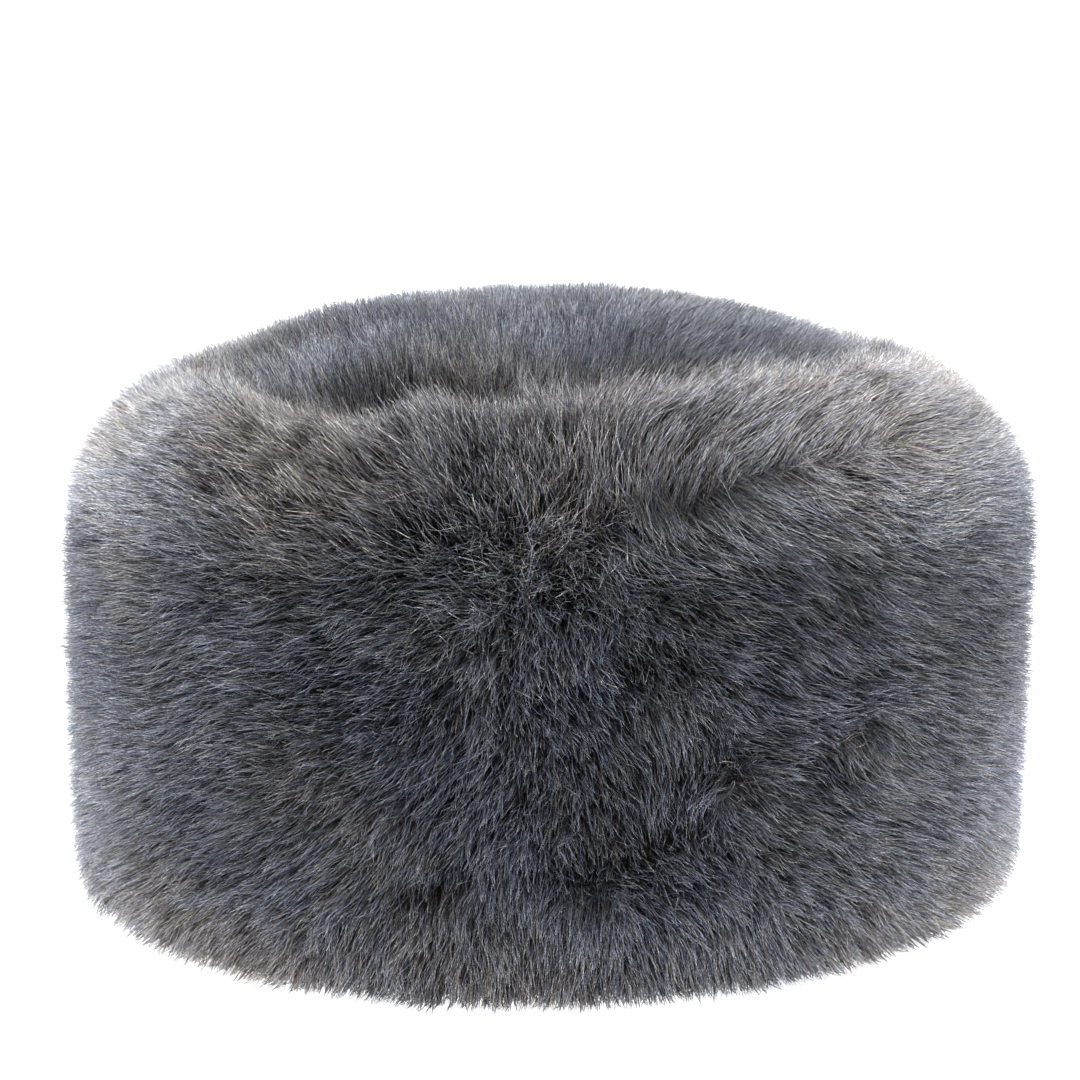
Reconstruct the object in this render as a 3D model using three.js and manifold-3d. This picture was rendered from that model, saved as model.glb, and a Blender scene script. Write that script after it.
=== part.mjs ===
// A round, brimless cossack hat of deep-pile fur fabric, standing on its open side.
// Millimetres, +Z up, the hat's front towards -Y. The origin is the centre of its base.
//
// Two pieces are sewn together: a tall band round the head, whose pile stands out from the side
// and up over the top edge as a fringe, and a slightly domed round crown inside that fringe.
// The pile of each piece is a dense body with tapered locks fused to it, tips on one outline.
import * as THREE from 'three';
import { mergeVertices } from 'three/addons/utils/BufferGeometryUtils.js';
import Module from 'manifold-3d';

const wasm = await Module();
wasm.setup();

// Outer form of the pile, seen from the side.
const OUTER_RADIUS = 130.5; // widest reach of the tips
const FRINGE_HEIGHT = 145; // tips of the band's upper fringe above the floor
const SHOULDER_RUN = 50; // the rounded upper shoulder, measured inwards
const SHOULDER_RISE = 46; // and measured down
const FOOT_TUCK = 8; // how far the pile draws in towards the floor
const FOOT_RISE = 68; // the height over which it does
const TAPER = 1.2; // the tips stand this much further out low down, and less high up
const CREST_RADIUS = 93; // where the fringe is highest

// The fabric under the pile.
const HEAD_RADIUS = 88; // the open hollow, for a head 57 to 58 cm round with its hair
const BACKING = 3; // woven backing with its hem
const SEAM_HEIGHT = 116; // the band's upper edge, where the crown is sewn on
const CROWN_BULGE = 10; // the crown's rise at its middle, inside the hat
const SEAM_GAP = 0.3; // clearance between the two pieces
const HEM_HEIGHT = 3; // the backing ends above the floor, the pile reaches it

// The crown's pile.
const CROWN_RADIUS = 87.2;
const CROWN_EDGE_HEIGHT = 141; // tips at the crown's edge
const CROWN_TOP_HEIGHT = 160.7; // tips at its middle
const CROWN_POWER = 2.1; // how flat the dome is in the middle

// The locks: flat, leaf-like tufts that overlap like shingles along the lie of the pile.
const LOCK_DEPTH = 9; // depth of the grooves between them
const LOCK_PITCH = 32; // spacing along a row
const ROW_PITCH = 24; // spacing of the rows along the outline
const LOCK_LENGTH = 42;
const LOCK_HALF_WIDTH = 17;
const LOCK_HALF_DEPTH = 9;
const LOCK_SIDES = 4;
const LOCK_BEND = 5; // how far a tip curls back towards the pile
const MOST_LEAN = 60; // degrees between a lock and the pile's surface normal, away from the whorl
const FRINGE_LEAN = 42; // the same at the upper edge, where the pile stands up
const JITTER = 0.2; // share of a pitch by which a lock strays
const LENGTH_SPREAD = 1.4; // longer and shorter tips
const FOOT_DROP = 9; // the lowest tips would reach below the floor, which presses them flat

// The pile parts at one whorl on the front and lies away from it on every side.
const WHORL = { azimuth: 271, height: 114 };
const WHORL_SPREAD = 46; // distance from the whorl at which the locks lie down

const ROUND = 36; // facets round the hat
const UP = new THREE.Vector3(0, 0, 1);

// Broad swells and dips of the pile. Azimuth 0 is the wearer's left (+X), 270 the front (-Y).
const SWELLS = [
  { azimuth: 180, height: 48, wide: 60, tall: 45, reach: 0.8 },
  { azimuth: 0, height: 104, wide: 60, tall: 34, reach: 2.8 },
  { azimuth: 0, height: 34, wide: 55, tall: 40, reach: -2.4 },
  { azimuth: 180, height: 118, wide: 50, tall: 30, reach: -1.4 },
  { azimuth: 262, height: 62, wide: 40, tall: 34, reach: 1.6 },
  { azimuth: 70, height: 70, wide: 60, tall: 50, reach: 1.2 },
];

// Partings, where the pile falls to both sides and leaves a shallow dent.
const PARTINGS = [
  { from: [281, 126], to: [303, 131], width: 11, depth: 4.5 },
  { from: [306, 131], to: [322, 130], width: 10, depth: 3.5 },
  { from: [288, 54], to: [294, 58], width: 11, depth: 4 },
  { from: [272, 27], to: [277, 29], width: 11, depth: 4 },
  { from: [305, 63], to: [310, 65], width: 10, depth: 3.5 },
  { from: [236, 143], to: [262, 143], width: 9, depth: 4 },
  { from: [120, 60], to: [100, 95], width: 11, depth: 3.5 },
  { from: [20, 88], to: [45, 70], width: 11, depth: 3.5 },
];

// The same order of chance every time.
function seeded(seed) {
  let state = seed >>> 0;
  return () => {
    state = (state + 0x6d2b79f5) >>> 0;
    let t = Math.imul(state ^ (state >>> 15), 1 | state);
    t = (t + Math.imul(t ^ (t >>> 7), 61 | t)) ^ t;
    return ((t ^ (t >>> 14)) >>> 0) / 4294967296;
  };
}

const radians = THREE.MathUtils.degToRad;
const turnBetween = (a, b) => Math.abs(((a - b + 540) % 360) - 180);

// The outline of the band's tips, from the floor up to the crest of the fringe.
function bandOutline(inset) {
  const steps = 5;
  const crest = Math.acos((CREST_RADIUS - OUTER_RADIUS + SHOULDER_RUN) / SHOULDER_RUN);
  const points = [];
  const taper = (z) => TAPER * (1 - (2 * z) / FRINGE_HEIGHT);
  for (let i = 0; i <= steps; i += 1) {
    const a = (i / steps) * (Math.PI / 2);
    const z = FOOT_RISE * (1 - Math.cos(a));
    points.push(new THREE.Vector2(OUTER_RADIUS - FOOT_TUCK * (1 - Math.sin(a)) + taper(z) - inset, z));
  }
  for (let i = 0; i <= steps; i += 1) {
    const a = (i / steps) * crest;
    const z = FRINGE_HEIGHT - SHOULDER_RISE * (1 - Math.sin(a));
    points.push(
      new THREE.Vector2(
        OUTER_RADIUS - SHOULDER_RUN * (1 - Math.cos(a)) + taper(z) - inset * Math.cos(a),
        z - inset * Math.sin(a),
      ),
    );
  }
  return points;
}

const crownHeight = (r) =>
  CROWN_EDGE_HEIGHT +
  (CROWN_TOP_HEIGHT - CROWN_EDGE_HEIGHT) * (1 - Math.pow(r / CROWN_RADIUS, CROWN_POWER));

// How far the pile swells out at one place of the band.
function swell(azimuth, height) {
  let reach = 0;
  for (const s of SWELLS) {
    const across = turnBetween(azimuth, s.azimuth) / s.wide;
    const along = (height - s.height) / s.tall;
    reach += s.reach * Math.exp(-0.5 * (across * across + along * along));
  }
  return reach;
}

// How far the tips draw back beside a parting.
function dent(azimuth, height) {
  let deepest = 0;
  const across = radians(1) * OUTER_RADIUS;
  for (const p of PARTINGS) {
    const line = new THREE.Line3(
      new THREE.Vector3(p.from[0] * across, p.from[1], 0),
      new THREE.Vector3(p.to[0] * across, p.to[1], 0),
    );
    const here = new THREE.Vector3(azimuth * across, height, 0);
    const near = line.closestPointToPoint(here, true, new THREE.Vector3());
    deepest = Math.max(deepest, p.depth * Math.exp(-0.5 * (near.distanceTo(here) / p.width) ** 2));
  }
  return deepest;
}

// Evenly spaced places along an outline, each with its radius, height, outward normal and share.
function placesAlong(outline, count) {
  const path = new THREE.CurvePath();
  for (let i = 1; i < outline.length; i += 1) {
    path.add(new THREE.LineCurve(outline[i - 1], outline[i]));
  }
  return Array.from({ length: count }, (_, i) => {
    const share = THREE.MathUtils.lerp(0.02, 0.995, i / (count - 1));
    const point = path.getPointAt(share);
    if (i === 0) point.y -= FOOT_DROP;
    const run = path.getPointAt(Math.min(share + 0.03, 1)).sub(path.getPointAt(Math.max(share - 0.03, 0)));
    const normal = new THREE.Vector2(run.y, -run.x).normalize();
    return { share, radius: point.x, height: point.y, normal };
  });
}

function lengthOf(outline) {
  let length = 0;
  for (let i = 1; i < outline.length; i += 1) length += outline[i].distanceTo(outline[i - 1]);
  return length;
}

// A closed geometry as a solid that can be joined and cut.
function solidOf(geometry) {
  const bare = geometry.clone();
  bare.deleteAttribute('normal');
  bare.deleteAttribute('uv');
  const merged = mergeVertices(bare, 1e-4);
  return new wasm.Manifold(
    new wasm.Mesh({
      numProp: 3,
      vertProperties: new Float32Array(merged.attributes.position.array),
      triVerts: new Uint32Array(merged.index.array),
    }),
  );
}

function geometryOf(solid) {
  const mesh = solid.getMesh();
  const geometry = new THREE.BufferGeometry();
  geometry.setAttribute('position', new THREE.BufferAttribute(mesh.vertProperties, 3));
  geometry.setIndex(new THREE.BufferAttribute(mesh.triVerts, 1));
  geometry.computeVertexNormals();
  return geometry;
}

// A ring or disc turned about the upright axis. The profile runs anticlockwise in radius and height.
function turned(profile) {
  return new THREE.LatheGeometry(profile, ROUND).rotateX(Math.PI / 2);
}

// One tapered lock with its tip at a point. Its root is inside the pile's body, its flat side faces
// out along the normal, and its tip curls back.
function lock(tip, lie, normal, size) {
  const length = LOCK_LENGTH * size;
  const profile = [
    new THREE.Vector2(0, 0),
    new THREE.Vector2(1, length * 0.45),
    new THREE.Vector2(0.72, length * 0.72),
    new THREE.Vector2(0, length),
  ];
  const geometry = new THREE.LatheGeometry(profile, LOCK_SIDES);
  const across = new THREE.Vector3().crossVectors(lie, normal).normalize();
  const out = new THREE.Vector3().crossVectors(across, lie).normalize();
  const basis = new THREE.Matrix4().makeBasis(
    across.multiplyScalar(LOCK_HALF_WIDTH * size),
    lie,
    out.clone().multiplyScalar(LOCK_HALF_DEPTH * size),
  );
  const places = geometry.attributes.position;
  const point = new THREE.Vector3();
  for (let i = 0; i < places.count; i += 1) {
    point.fromBufferAttribute(places, i);
    const along = point.y / length;
    point.y -= length;
    point.applyMatrix4(basis).add(tip);
    point.addScaledVector(out, LOCK_BEND * (1 - along) * (2 * along - 0.6));
    places.setXYZ(i, point.x, point.y, point.z);
  }
  return solidOf(geometry);
}

// A lock's direction: along the normal at the whorl, and lying down along the way further off.
function lieAlong(normal, way, distance, stray, mostLean) {
  const lean = radians(mostLean) * (1 - Math.exp(-((distance / WHORL_SPREAD) ** 2)));
  const aside = new THREE.Vector3().crossVectors(normal, way).multiplyScalar(stray);
  const flat = way.clone().add(aside).normalize();
  return normal.clone().multiplyScalar(Math.cos(lean)).addScaledVector(flat, Math.sin(lean));
}

// The body under the band's locks follows the same swells and dents as their tips.
function bandBody() {
  const inner = HEAD_RADIUS - 8;
  const outline = bandOutline(LOCK_DEPTH);
  const foot = outline[0];
  const crest = outline[outline.length - 1];
  const profile = [
    new THREE.Vector2(inner, -6),
    new THREE.Vector2(foot.x, -6),
    ...outline,
    new THREE.Vector2(inner, crest.y - 2),
    new THREE.Vector2(inner, -6),
  ];
  const geometry = turned(profile);
  const places = geometry.attributes.position;
  for (let i = 0; i < places.count; i += 1) {
    const x = places.getX(i);
    const y = places.getY(i);
    const z = places.getZ(i);
    const r = Math.hypot(x, y);
    const azimuth = (THREE.MathUtils.radToDeg(Math.atan2(y, x)) + 360) % 360;
    const share = THREE.MathUtils.clamp((r - HEAD_RADIUS) / (OUTER_RADIUS - HEAD_RADIUS), 0, 1);
    const grown = 1 + (share * (swell(azimuth, z) - 0.7 * dent(azimuth, z))) / r;
    places.setXY(i, x * grown, y * grown);
  }
  return solidOf(geometry);
}

function bandLocks() {
  const chance = seeded(732);
  const outline = bandOutline(0);
  const places = placesAlong(outline, Math.round(lengthOf(outline) / ROW_PITCH));
  const locks = [];
  places.forEach((place, row) => {
    const count = Math.round((2 * Math.PI * place.radius) / LOCK_PITCH);
    for (let i = 0; i < count; i += 1) {
      const stray = () => (chance() - 0.5) * 2 * JITTER;
      const azimuth = ((i + (row % 2) / 2 + stray()) / count) * 360;
      const out = new THREE.Vector3(Math.cos(radians(azimuth)), Math.sin(radians(azimuth)), 0);
      const round = new THREE.Vector3().crossVectors(UP, out);
      const normal = out.clone().multiplyScalar(place.normal.x).addScaledVector(UP, place.normal.y);
      const upward = out.clone().multiplyScalar(-place.normal.y).addScaledVector(UP, place.normal.x);
      const turn = ((azimuth - WHORL.azimuth + 540) % 360) - 180;
      const sideways = radians(turn) * OUTER_RADIUS * Math.cos(radians(turn) / 2) ** 2;
      const along = place.height - WHORL.height + (place.height > 110 ? 12 : 0);
      const way = round.clone().multiplyScalar(sideways * 0.6).addScaledVector(upward, along);
      const distance = way.length();
      way.normalize();
      const edge = THREE.MathUtils.smoothstep(place.share, 0.6, 1);
      const mostLean = THREE.MathUtils.lerp(MOST_LEAN, FRINGE_LEAN, edge);
      const lie = lieAlong(normal, way, distance, 2 * stray(), mostLean);
      const shift = stray() * ROW_PITCH * (place.share > 0.85 ? 0 : 1);
      const reach = swell(azimuth, place.height) - dent(azimuth, place.height) +
        (chance() - 0.5) * LENGTH_SPREAD;
      const tip = out.clone().multiplyScalar(place.radius).setZ(place.height)
        .addScaledVector(upward, shift).addScaledVector(normal, reach);
      locks.push(lock(tip, lie, normal, 0.9 + 0.2 * chance()));
    }
  });
  return locks;
}

// What the band leaves free: the head's hollow, the crown's seat and the well for its pile.
function bandClearance() {
  const seat = HEAD_RADIUS + BACKING + SEAM_GAP;
  return solidOf(
    turned([
      new THREE.Vector2(0, -20),
      new THREE.Vector2(HEAD_RADIUS + 2, -20),
      new THREE.Vector2(HEAD_RADIUS + 2, HEM_HEIGHT - 1),
      new THREE.Vector2(HEAD_RADIUS, HEM_HEIGHT),
      new THREE.Vector2(HEAD_RADIUS, SEAM_HEIGHT),
      new THREE.Vector2(seat, SEAM_HEIGHT),
      new THREE.Vector2(seat, SEAM_HEIGHT + BACKING + 2 * SEAM_GAP),
      new THREE.Vector2(CROWN_RADIUS + SEAM_GAP, SEAM_HEIGHT + BACKING + 5),
      new THREE.Vector2(CROWN_RADIUS + SEAM_GAP, 200),
      new THREE.Vector2(0, 200),
    ]),
  );
}

// What the crown keeps to: its domed underside, its sewn edge and the round of its pile.
function crownLimit() {
  const under = SEAM_HEIGHT + SEAM_GAP;
  const edge = HEAD_RADIUS + BACKING;
  const flat = HEAD_RADIUS - 1;
  const dome = [0, 0.3, 0.55, 0.75, 0.9].map(
    (share) => new THREE.Vector2(share * flat, under + CROWN_BULGE * (1 - share * share)),
  );
  return solidOf(
    turned([
      ...dome,
      new THREE.Vector2(flat, under),
      new THREE.Vector2(edge, under),
      new THREE.Vector2(edge, under + BACKING),
      new THREE.Vector2(CROWN_RADIUS, under + BACKING + 4.5),
      new THREE.Vector2(CROWN_RADIUS, 200),
      new THREE.Vector2(0, 200),
    ]),
  );
}

// The crown's backing with the dense body of its pile.
function crownBody() {
  const ledge = SEAM_HEIGHT + SEAM_GAP + BACKING;
  const wall = CROWN_RADIUS - 2;
  const dome = [0.9, 0.8, 0.65, 0.45, 0.25].map(
    (share) => new THREE.Vector2(share * wall, crownHeight(share * wall) - LOCK_DEPTH),
  );
  return solidOf(
    turned([
      new THREE.Vector2(0, SEAM_HEIGHT - 20),
      new THREE.Vector2(HEAD_RADIUS + BACKING + 5, SEAM_HEIGHT - 20),
      new THREE.Vector2(HEAD_RADIUS + BACKING + 5, ledge),
      new THREE.Vector2(wall, ledge),
      new THREE.Vector2(wall - 1.5, crownHeight(wall) - LOCK_DEPTH - 3),
      ...dome,
      new THREE.Vector2(0, crownHeight(0) - LOCK_DEPTH),
    ]),
  );
}

function crownLocks() {
  const chance = seeded(88);
  const locks = [];
  const rings = 3;
  for (let ring = 0; ring <= rings; ring += 1) {
    const r = (ring / rings) * (CROWN_RADIUS - 1);
    const count = ring === 0 ? 1 : Math.round((2 * Math.PI * r) / LOCK_PITCH);
    for (let i = 0; i < count; i += 1) {
      const stray = () => (chance() - 0.5) * 2 * JITTER;
      const turn = ((i + stray() + (ring % 2) / 2) / count) * Math.PI * 2;
      const out = new THREE.Vector3(Math.cos(turn), Math.sin(turn), 0);
      const normal = UP.clone().addScaledVector(out, (0.4 * r) / CROWN_RADIUS).normalize();
      const lie = lieAlong(normal, out, Math.max(r, 8), stray(), MOST_LEAN - 10);
      const tip = out.clone().multiplyScalar(r).setZ(crownHeight(r) + (chance() - 0.5) * LENGTH_SPREAD);
      locks.push(lock(tip, lie, normal, 0.8 + 0.2 * chance()));
    }
  }
  return locks;
}

const joined = (solids) => solids.reduce((whole, solid) => whole.add(solid));

const floorBlock = solidOf(new THREE.BoxGeometry(500, 500, 80).translate(0, 0, -40));

const bandSolid = joined([bandBody(), ...bandLocks()]).subtract(floorBlock).subtract(bandClearance());
const crownSolid = joined([crownBody(), ...crownLocks()]).intersect(crownLimit());

const bandPile = new THREE.MeshStandardMaterial({ color: 0x5f6269, roughness: 0.95, metalness: 0 });
const crownPile = new THREE.MeshStandardMaterial({ color: 0x6b6d72, roughness: 0.95, metalness: 0 });

const sideBand = new THREE.Mesh(geometryOf(bandSolid), bandPile);
sideBand.name = 'side_band';
const crown = new THREE.Mesh(geometryOf(crownSolid), crownPile);
crown.name = 'crown';

const group = new THREE.Group();
group.add(sideBand, crown);

export default group;
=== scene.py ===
"""A round cossack hat of deep-pile fur fabric, standing on its open side on a pale floor.

Lengths in the tables are millimetres; meshes are made in metres. -Y is the hat's front.
"""
import math

import bpy
import numpy as np
from mathutils import Matrix, Vector
from mathutils.kdtree import KDTree


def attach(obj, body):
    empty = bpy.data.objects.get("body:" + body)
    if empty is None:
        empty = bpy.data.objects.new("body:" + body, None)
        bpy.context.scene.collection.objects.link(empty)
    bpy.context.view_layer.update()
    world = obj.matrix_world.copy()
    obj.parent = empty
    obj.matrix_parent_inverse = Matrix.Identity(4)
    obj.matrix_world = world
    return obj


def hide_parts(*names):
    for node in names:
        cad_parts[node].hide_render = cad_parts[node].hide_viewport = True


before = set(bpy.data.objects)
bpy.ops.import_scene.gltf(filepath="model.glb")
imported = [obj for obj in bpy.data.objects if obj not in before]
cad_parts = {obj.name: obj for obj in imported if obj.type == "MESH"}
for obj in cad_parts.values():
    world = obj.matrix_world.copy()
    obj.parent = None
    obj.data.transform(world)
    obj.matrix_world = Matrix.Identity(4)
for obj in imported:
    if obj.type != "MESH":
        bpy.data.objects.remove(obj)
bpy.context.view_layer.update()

MM = 0.001

# Sizes
OUTER_RADIUS = 130.5
FRINGE_HEIGHT = 145.0
SHOULDER_RUN, SHOULDER_RISE = 50.0, 46.0
FOOT_TUCK, FOOT_RISE = 3.5, 68.0
TAPER = 1.2
CREST_RADIUS = 93.0
FOOT_INNER, FOOT_OUTER, FOOT_HEIGHT = 95.0, 120.0, 0.6  # radii and height of the tips under the foot
VALLEY = [(91.0, 143.0), (89.0, 141.0), (88.0, 137.0)]  # radius and height of the tips inside the crest
HEAD_RADIUS, BACKING = 88.0, 3.0
SEAM_HEIGHT, SEAM_GAP, HEM_HEIGHT = 116.0, 0.3, 3.0
CROWN_BULGE = 10.0
CROWN_RADIUS, CROWN_EDGE_HEIGHT, CROWN_TOP_HEIGHT, CROWN_POWER = 87.2, 143.0, 160.7, 2.1

SIDE_COAT, CREST_COAT = 15.0, 25.0  # from the tips down to the dense undercoat
PILE_LENGTH = 26.0
LONG_FLECKS, FLECKS_FADE = 100.0, 28.0  # below this height, and over this much, pale tips get shorter
VALLEY_CROSS = 6.0  # how far tips lean across the valley between crown and fringe
FULLNESS = 1.8  # the finest tips stand this far outside the nominal outline
BAND_STRANDS, FRINGE_STRANDS, CROWN_STRANDS = 285000, 48000, 75000

# How the pile lies: how far it rises, and how far it turns to the right of straight out.
# Azimuth 0 is the wearer's left (+X), 270 the front (-Y).
LIFT = np.array([  # height, lift in degrees
    (0, -46), (12, -30), (30, -16), (60, -5), (90, 4), (110, 12), (120, 26), (130, 42), (140, 56),
    (147, 74)], float)
LIE = np.array([  # azimuth, height, lift, turn
    (271, 114, 13.6, 0), (260, 104, 4, -12), (284, 104, -4, 12), (288, 120, -10, 16), (288, 132, 34, 26),
    (300, 114, -7, 12), (304, 124, 0, 12), (304, 134, 22, 26), (322, 128, 10, 8), (322, 136, 24, 10),
    (320, 90, -11, 6), (340, 90, -10, 0), (310, 40, -9, 13), (320, 12, -24, 7), (272, 96, -7, 0),
    (272, 78, -12, 0), (272, 55, -15, 0), (270, 30, -20, 0), (270, 12, -38, 0), (252, 38, -14, -9),
    (244, 60, -9, -8), (236, 82, 3, -4), (215, 75, 6, -2), (215, 25, -14, -3), (214, 127, 22, -4),
    (205, 108, 10, 0), (240, 126, 34, -18), (298, 75, -12, 12), (271, 125, 26, 0), (271, 136, 50, 0),
    (252, 138, 44, -22), (300, 142, 34, 30)], float)
LIE_REACH = np.array([15.0, 10.0])  # degrees, millimetres

# Broad swells and dips: azimuth, height, width in degrees, height, reach.
SWELLS = np.array([
    (180, 48, 60, 45, 0.8), (0, 104, 60, 34, 2.8), (0, 34, 55, 40, -0.6),
    (190, 128, 45, 14, 1.5), (262, 62, 40, 34, 1.6), (70, 70, 60, 50, 1.2), (275, 150, 19, 10, 9.5),
    (312, 152, 20, 12, 9.0), (250, 150, 5, 10, 3.5), (60, 150, 60, 10, -3.5), (232, 6, 26, 12, 2.5)], float)

# Swells of the crown: place to the right and back, reach across, height.
CROWN_SWELLS = np.array([
    (-62, 15, 28, 4.0), (60, 12, 28, 1.5), (-48, -60, 11, -6),
    (-36, -67, 11, -8), (-24, -72, 8, -8), (-13, -76, 6, -7)], float)

# Partings: azimuth and height of both ends, width, how far the pile turns aside, how deep.
PARTINGS = np.array([
    (268, 113, 275, 114, 46, 0.28, 2.5), (284, 125, 293, 127, 10, 0.9, 9.0),
    (281, 126, 303, 130, 7, 0.8, 7.0), (306, 130, 322, 130, 7, 0.6, 4.0),
    (289, 53, 293, 59, 10, 0.8, 9.0), (272, 27, 277, 29, 9, 0.7, 6.0),
    (305, 62, 310, 66, 9, 0.7, 7.0), (234, 144, 245, 144, 6, 0.3, 5.0), (256, 145, 260, 145, 5, 0.3, 4.0),
    (120, 60, 100, 95, 10, 0.5, 3.5), (20, 88, 45, 70, 10, 0.5, 3.5)], float)

# Darker and paler places in the pile, partly the fur's own tone and partly painted highlight on the shoulders
# and a swell: azimuth, height, width in degrees, height, tone.
TONES_AND_PAINTED_LIGHT = np.array([
    (252, 42, 15, 20, -0.06), (292, 68, 13, 16, -0.09), (328, 92, 14, 20, -0.18), (232, 114, 13, 14, -0.26),
    (210, 130, 13, 12, 0.18), (316, 133, 12, 9, 0.27), (300, 102, 14, 10, -0.10), (262, 130, 12, 10, 0.10),
    (278, 34, 9, 10, 0.14), (242, 66, 12, 18, 0.08), (205, 30, 14, 24, 0.14), (333, 30, 14, 20, 0.10),
    (275, 98, 24, 12, 0.07), (212, 118, 10, 10, 0.10)], float)


# Small maths
UP = np.array([0, 0, 1.0])
LEVEL = np.array([1, 1, 0])
TINY, SLIGHT = 1e-9, 1e-6
EVEN_STEPS = (0.7548776662466927, 0.5698402909980532)  # steps that fill a unit square evenly


def unit(v):
    return v / np.maximum(np.linalg.norm(v, axis=-1, keepdims=True), TINY)


def fade(x, start, end):
    """0 as far as start, 1 from end on, and even between them."""
    return np.clip((x - start) / (end - start), 0, 1)


def spread(n, offset):
    """n points of the unit square, evenly spread."""
    i = np.arange(n) + offset
    return np.stack([(0.5 + i * step) % 1 for step in EVEN_STEPS], 1)


class Waves:
    """Smooth noise in space from a few random waves, about -1 to 1."""

    COUNT, SPAN = 14, (0.7, 1.6)
    GAIN, EVENING = 1.6, 1.4

    def __init__(self, seed, wavelength):
        r = np.random.default_rng(seed)
        way = unit(r.normal(size=(self.COUNT, 3)))
        self.k = way * (2 * math.pi / (wavelength * r.uniform(*self.SPAN, (self.COUNT, 1))))
        self.phase = r.uniform(0, 2 * math.pi, self.COUNT)
        self.gain = self.GAIN / math.sqrt(self.COUNT)

    def __call__(self, p):
        total = np.zeros(len(p))
        for k, phase in zip(self.k, self.phase):
            total += np.sin(p @ k + phase)
        return total * self.gain / self.EVENING


# Outer form
ARC_POINTS, LINE_POINTS, FOOT_POINTS = 40, 900, 8


def band_tip_line():
    """The line of the band's tips in radius and height: under the foot, up the side, over the
    shoulder to the crest and down into the valley round the crown."""
    taper = lambda z: TAPER * (1 - 2 * z / FRINGE_HEIGHT)
    under = [(r, FOOT_HEIGHT) for r in np.linspace(FOOT_INNER, FOOT_OUTER, FOOT_POINTS)]
    a = np.linspace(0, math.pi / 2, ARC_POINTS)
    z = FOOT_RISE * (1 - np.cos(a))
    foot = np.c_[OUTER_RADIUS - FOOT_TUCK * (1 - np.sin(a)) + taper(z), z]
    crest = math.acos((CREST_RADIUS - OUTER_RADIUS + SHOULDER_RUN) / SHOULDER_RUN)
    a = np.linspace(0, crest, ARC_POINTS)
    z = FRINGE_HEIGHT - SHOULDER_RISE * (1 - np.sin(a))
    shoulder = np.c_[OUTER_RADIUS - SHOULDER_RUN * (1 - np.cos(a)) + taper(z), z]
    line = np.vstack([under, foot, shoulder[1:], VALLEY])
    step = np.linalg.norm(np.diff(line, axis=0), axis=1)
    at = np.r_[0, np.cumsum(step)]
    fine = np.linspace(0, at[-1], LINE_POINTS)
    line = np.c_[np.interp(fine, at, line[:, 0]), np.interp(fine, at, line[:, 1])]
    way = np.gradient(line, axis=0)
    normal = unit(np.c_[way[:, 1], -way[:, 0]])
    return fine, line, normal


def crown_height(r):
    rise = CROWN_TOP_HEIGHT - CROWN_EDGE_HEIGHT
    return CROWN_EDGE_HEIGHT + rise * (1 - np.clip(r / CROWN_RADIUS, 0, 1) ** CROWN_POWER)


def turn_between(a, b):
    """Degrees from azimuth b to azimuth a, from -180 to 180."""
    return (a - b + 540) % 360 - 180


def add_bumps(total, table, azimuth, height):
    """Adds a soft bump to total for each row of azimuth, height, width, tallness and most."""
    for az, z, wide, tall, most in table:
        total += most * np.exp(-0.5 * ((turn_between(azimuth, az) / wide) ** 2 + ((height - z) / tall) ** 2))
    return total


def swell(azimuth, height):
    return add_bumps(np.zeros(len(azimuth)), SWELLS, azimuth, height)


PARTING_EDGE, PARTING_DEEP = 0.45, 0.6  # in widths: where the turn is full, and how wide the depth is


def partings(azimuth, height):
    """How far the pile turns aside, round the hat and upwards, and how much shorter it stands."""
    scale = math.radians(1) * OUTER_RADIUS
    aside = np.zeros((len(azimuth), 2))
    short = np.zeros(len(azimuth))
    for az1, z1, az2, z2, width, turn, depth in PARTINGS:
        a = np.array([0.0, z1])
        b = np.array([turn_between(az2, az1) * scale, z2])
        p = np.c_[turn_between(azimuth, az1) * scale, height]
        t = np.clip(((p - a) @ (b - a)) / max((b - a) @ (b - a), SLIGHT), 0, 1)
        off = p - (a + t[:, None] * (b - a))
        d = np.linalg.norm(off, axis=1)
        near = np.minimum(d / (PARTING_EDGE * width), 1) * np.exp(-((d / width) ** 2))
        aside += turn * unit(off) * near[:, None]
        short = np.maximum(short, depth * np.exp(-((d / (PARTING_DEEP * width)) ** 2)))
    return aside, short


# Where the fibres stand
LIE_SHARE = 0.15  # how much the general lift counts beside the rows of LIE
THINNED, THINNED_BY = (112, 120), 0.45  # heights between which the fringe takes over, and by how much
FRINGE_START, FRINGE_CROWDING = 108, 0.75  # lowest height, and under 1 to crowd the fringe upwards
UNDER_HEIGHT, UNDER_RADIUS, UNDER_LIFT = 1.0, 121, -14.0  # what counts as under the foot, and its lift
CREST, CREST_LEAST_HEIGHT, CREST_LIFT = (99, 91), 100, 86  # the crest's radii, height and lift
CREST_LEAN, LEAN_WIDTH, LEAN_SPAN, LEAN_FRONT = 0.9, 50, (-0.7, 1), (0, 30)  # sideways, in front
CROWN_INSET, CROWN_REACH = 0.5, 0.6
CROWN_NORMAL, CROWN_SPLAY = 0.35, 0.45  # outwards at the rim, of the surface and of the fibres
CROWN_LEAN, CROWN_LEAN_FROM = 0.6, (8, 53)  # to the right, between these distances
RIM_DROP, RIM_DROP_FROM = -2.0, (80, 87)  # how far the tips sink, between these radii


def lie(azimuth, height):
    """Lift and turn of the pile in degrees."""
    lift = LIE_SHARE * np.interp(height, LIFT[:, 0], LIFT[:, 1])
    turn = np.zeros(len(azimuth))
    weight = np.full(len(azimuth), LIE_SHARE)
    for az, z, up, side in LIE:
        near = np.exp(-(turn_between(azimuth, az) / LIE_REACH[0]) ** 2 - ((height - z) / LIE_REACH[1]) ** 2)
        lift += near * up
        turn += near * side
        weight += near
    return lift / weight, turn / weight


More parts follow.
